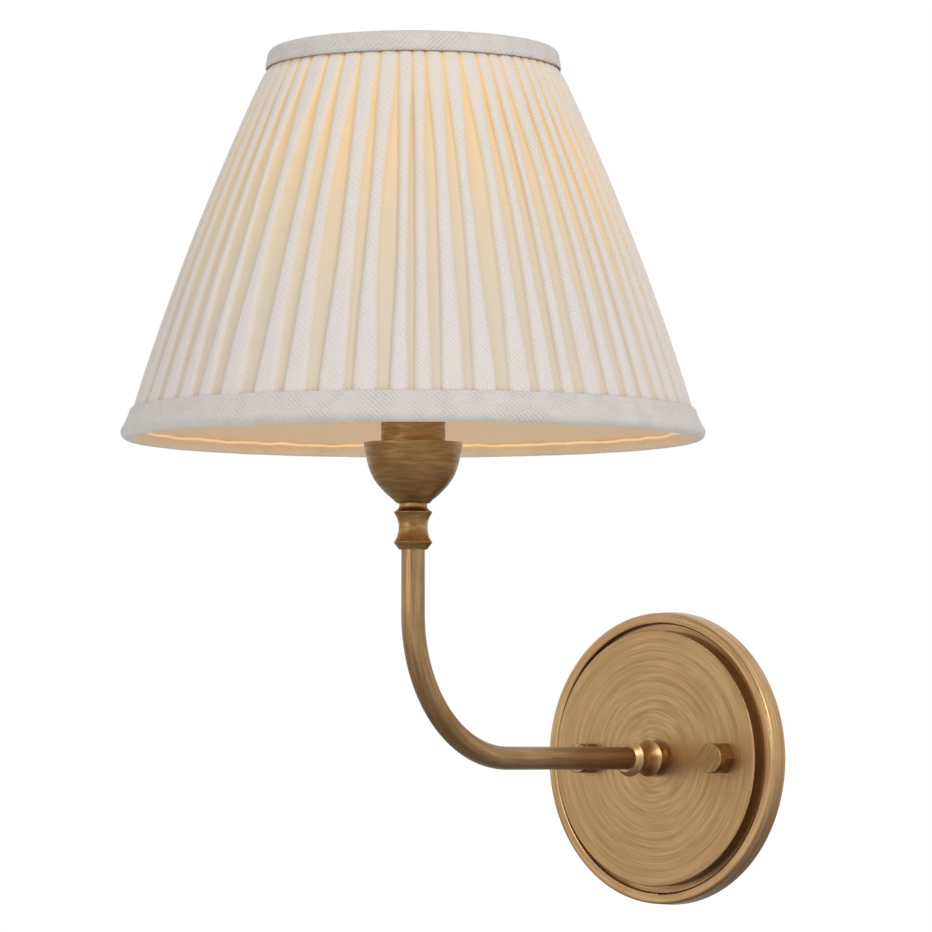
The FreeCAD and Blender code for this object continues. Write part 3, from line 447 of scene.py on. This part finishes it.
def fold_stations(i, t, pitch):
    """Points across fold i: offset in mm, level up the fold, share of valley."""
    left, right = fold_half(i, t, pitch), fold_half(i + 1, t, pitch)
    face = pitch - left - right
    crown = traits[i][1]
    near, far = (min(0.34 * face, 2.3 * w) for w in (crown, 1.9 - crown))
    stations = [(0.0, 0.0, 1.0), (left * 0.6, 0.02, 1.0)]
    stations += [(left + near * part, level, fold) for part, level, fold in SHOULDER]
    stations += [(left + near + (face - near - far) * part, 1.0, 0.0) for part in (0.2, 0.5, 0.8)]
    stations += [(pitch - right - far * part, level, fold)
                 for part, level, fold in reversed(SHOULDER)]
    stations += [(pitch - right * 0.6, 0.02, 1.0)]
    return stations


def fold_swell(i, t, z, part, level):
    """How far a fold's face stands out, part running from -0.5 to 0.5 across it."""
    if level <= 0.6:
        return 0.0
    tilt, crown, seed = traits[i]
    swell = 0.16 * crown * (1.0 - 4.0 * part * part) + tilt * part
    swell *= smooth(level, 0.6, 0.95)
    return swell + 0.22 * wobble(z * 0.03 + part * 2.0, seed, 1.0) * smooth(t, 0.0, 0.2)


def fold_glow(theta, t, z):
    """How warm the lamp makes the cloth: strongest near the top."""
    glow = 0.10 + 0.90 * smooth(t, 0.85, 0.08)
    glow *= 0.75 + 0.35 * wobble(theta * 2.0, z * 0.012, 5.0)
    return min(max(glow, 0.0), 1.0)


rows, folds, warms = [], [], []
slant_length = 0.0
last = None
for j in range(BANDS + 1):
    z = blend(TOP, HEM, (j / BANDS) ** 1.15)
    t = (TOP - z) / (TOP - HEM)
    radius = cover_radius(z)
    if last is not None:
        slant_length += math.hypot(last[0] - radius, last[1] - z)
    last = (radius, z)
    deep = 0.9 + 1.25 * smooth(t, 0.03, 0.22) - 0.75 * smooth(t, 0.82, 1.0)
    row, fold_row, warm_row = [], [], []
    for i in range(count):
        here = valleys[i]
        there = valleys[(i + 1) % count] + (2.0 * math.pi if i == count - 1 else 0.0)
        there += 2.0 * math.pi if there < here else 0.0
        here += 0.004 * wobble(t * 3.0, traits[i][2], 9.0)
        there += 0.004 * wobble(t * 3.0, traits[(i + 1) % count][2], 9.0)
        pitch = (there - here) * radius
        for offset, level, fold in fold_stations(i, t, pitch):
            swell = fold_swell(i, t, z, offset / pitch - 0.5, level)
            out = radius - deep * (1.0 - level) + swell - 0.1
            theta = here + offset / radius
            row.append(at_angle(theta, out, z) + (i * FOLD_CLOTH + offset, slant_length))
            fold_row.append(fold)
            warm_row.append(fold_glow(theta, t, z))
    rows.append(row)
    folds.append(fold_row)
    warms.append(warm_row)
cover = surface("pleats", rows, COVER, marks={"fold": folds, "warm": warms})
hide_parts("pleated_cover")
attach(cover, "shade")


# ----------------------------------------------------- lining and rolled trims
def lathe(name, section, finish, turns=540, inner=None):
    """Sweep a wandering section round the shade: section(theta) gives (r, z) points.

    inner gives, for each point of the section, how far it is turned in and
    whether it is at the free edge.
    """
    columns = [section(2.0 * math.pi * i / turns) for i in range(turns)]
    rows = []
    mean = sum(p[0] for p in columns[0]) / len(columns[0])
    for j in range(len(columns[0])):
        row = []
        for i, column in enumerate(columns):
            theta = 2.0 * math.pi * i / turns
            along = sum(math.dist(column[k], column[k - 1]) for k in range(1, j + 1))
            row.append(at_angle(theta, column[j][0], column[j][1]) + (theta * mean, along))
        rows.append(row)
    marks = None
    if inner:
        marks = {"inner": [[turned] * turns for turned, _ in inner],
                 "lip": [[lip] * turns for _, lip in inner]}
    return surface(name, rows, finish, marks=marks)


def loop(theta, rate, seed):
    """Seamless noise round the shade."""
    return noise.noise(Vector((math.cos(theta) * rate, math.sin(theta) * rate, seed)))


def lining_section(theta):
    """A nearly straight line down the inside of the shade."""
    points = []
    for j in range(9):
        t = j / 8.0
        radius = blend(59.7, 117.2, t) + 0.12 * loop(theta, 6.0, 2.0 + t)
        points.append((radius, blend(288.5, 138.2, t)))
    return points


lining = lathe("lining", lining_section, LINING)
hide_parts("shade_lining")
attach(lining, "shade")


def arc_points(centre, radius, start, stop, steps):
    """Points on an arc in the (r, z) plane, angles in degrees from outwards."""
    points = []
    for k in range(steps + 1):
        a = math.radians(blend(start, stop, k / steps))
        points.append((centre[0] + radius * math.cos(a), centre[1] + radius * math.sin(a)))
    return points


def bottom_section(theta):
    """The bottom binding: down the outside, round the wire and turned in."""
    soft = 0.18 * loop(theta, 9.0, 4.0) + 0.10 * loop(theta, 30.0, 5.0)
    edge = 0.8 * loop(theta, 7.0, 6.0) + 0.4 * loop(theta, 15.0, 7.0)
    top_edge = 0.22 * loop(theta, 8.0, 8.0)
    points = [(118.0, 145.9 + top_edge), (118.5, 146.35 + top_edge), (118.95, 145.9 + top_edge)]
    points += [(119.75 + soft, 143.6), (120.75 + soft, 141.2), (121.7 + soft, 139.1)]
    points += arc_points((119.75, 136.5), 3.15 + soft * 0.5, 28.0, -190.0, 16)
    points += [(116.5, 137.4 + edge * 0.5), (116.3, 138.1 + edge), (116.2, 138.5 + edge),
               (116.5, 138.75 + edge), (116.8, 138.0 + edge)]
    return points


def top_section(theta):
    """The top binding: up the outside, over the wire and turned in."""
    soft = 0.12 * loop(theta, 7.0, 14.0) + 0.07 * loop(theta, 24.0, 15.0)
    low = 0.25 * loop(theta, 6.0, 16.0)
    points = [(61.7, 290.6 + low), (62.15, 290.1 + low), (62.5 + soft, 290.5 + low),
              (62.35 + soft, 292.2), (62.0 + soft, 294.0)]
    points += arc_points((57.9, 294.9), 3.95 + soft * 0.5, 5.0, 90.0, 8)
    points += arc_points((57.3, 297.4), 1.45, 95.0, 175.0, 4)
    points += [(55.85, 295.0), (55.8, 292.0 + low), (55.95, 290.0 + low), (56.3, 289.6 + low),
               (56.5, 290.2 + low)]
    return points


def turned_in(count, first, edge):
    """Marks along a binding: plain to first, then turned in, painted lamp glow at edge."""
    return [(smooth(k, first - 2.0, first + 2.0), 1.0 if k in edge else 0.0) for k in range(count)]


for name, section, node, edge in (("bottom_binding", bottom_section, "bottom_trim", (24, 25, 26, 27)),
                                  ("top_binding", top_section, "top_trim", ())):
    marks = turned_in(len(section(0.0)), 17, edge)
    binding = lathe(name, section, TRIM, turns=720, inner=marks)
    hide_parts(node)
    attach(binding, "shade")


# ------------------------------------------------------------ stage and camera
def quad(name, centre, half, finish):
    """A level square, its sides twice half."""
    mesh = bpy.data.meshes.new(name)
    mesh.from_pydata([(centre[0] + half * a, centre[1] + half * b, centre[2])
                      for a, b in ((-1, -1), (1, -1), (1, 1), (-1, 1))], [], [(0, 1, 2, 3)])
    mesh.materials.append(finish)
    made = bpy.data.objects.new(name, mesh)
    bpy.context.scene.collection.objects.link(made)
    return made


PALE = plain("pale_floor", linear(238, 238, 236), linear(234, 234, 232), 0.9)
floor = quad("floor", (0.0, -0.15, -0.32), 2.5, PALE)


def area_light(name, place, aim, size, power):
    """A square lamp at a place, turned to its aim; metres and watts."""
    data = bpy.data.lights.new(name, "AREA")
    data.shape = "SQUARE"
    data.size = size
    data.energy = power
    lamp = bpy.data.objects.new(name, data)
    bpy.context.scene.collection.objects.link(lamp)
    lamp.location = place
    lamp.rotation_euler = (Vector(aim) - Vector(place)).to_track_quat("-Z", "Y").to_euler()


a = math.radians(VIEW)
back = Vector((math.sin(a), -math.cos(a), 0.0))
right = Vector((math.cos(a), math.sin(a), 0.0))
up = Vector((0.0, 0.0, 1.0))
heart = Vector((0.0, -REACH * MM, 0.12))
area_light("key", heart + back * 1.9 + right * 1.3 + up * 1.5, heart, 1.3, 26.0)
area_light("fill", heart + back * 1.6 - right * 1.9 + up * 0.5, heart, 1.6, 10.0)

world = bpy.data.worlds.new("studio")
bpy.context.scene.world = world
world.use_nodes = True
tree = world.node_tree
tree.nodes.clear()
path = tree.nodes.new("ShaderNodeLightPath")


def either(first, second):
    """1 when either ray test is true."""
    made = tree.nodes.new("ShaderNodeMath")
    made.operation = "MAXIMUM"
    tree.links.new(first, made.inputs[0])
    tree.links.new(second, made.inputs[1])
    return made.outputs[0]


def background(colour, strength):
    made = tree.nodes.new("ShaderNodeBackground")
    made.inputs["Color"].default_value = colour
    made.inputs["Strength"].default_value = strength
    return made.outputs[0]


# white where it is seen, mirrored or looked through, softer where it only lights
seen = either(path.outputs["Is Camera Ray"], path.outputs["Is Glossy Ray"])
seen = either(seen, path.outputs["Is Transmission Ray"])
both = tree.nodes.new("ShaderNodeMixShader")
tree.links.new(seen, both.inputs[0])
tree.links.new(background((0.97, 0.985, 1.0, 1.0), 0.62), both.inputs[1])
tree.links.new(background((1.0, 1.0, 1.0, 1.0), 1.0), both.inputs[2])
out = tree.nodes.new("ShaderNodeOutputWorld")
tree.links.new(both.outputs[0], out.inputs["Surface"])

# camera: metres from the shade's axis, metres up from the plate's centre, and
# how far it turns to the right and upwards
DISTANCE, EYE, YAW, PITCH = 2.1234, -0.00086, math.radians(0.60), math.radians(3.33)
PIXEL, PICTURE, SENSOR = 0.00042, 932.0, 36.0     # metres a pixel at the axis, pixels, mm
camera_data = bpy.data.cameras.new("camera")
camera_data.sensor_width = SENSOR
camera_data.lens = DISTANCE / PIXEL * SENSOR / PICTURE
camera_data.clip_start = 0.05
camera_data.clip_end = 50.0
camera = bpy.data.objects.new("camera", camera_data)
bpy.context.scene.collection.objects.link(camera)
camera.location = Vector((0.0, -REACH * MM, 0.0)) + back * DISTANCE + up * EYE
ahead = -back * math.cos(YAW) + right * math.sin(YAW)
ahead = ahead * math.cos(PITCH) + up * math.sin(PITCH)
camera.rotation_euler = ahead.to_track_quat("-Z", "Y").to_euler()
bpy.context.scene.camera = camera
bpy.context.scene.view_settings.view_transform = "Standard"
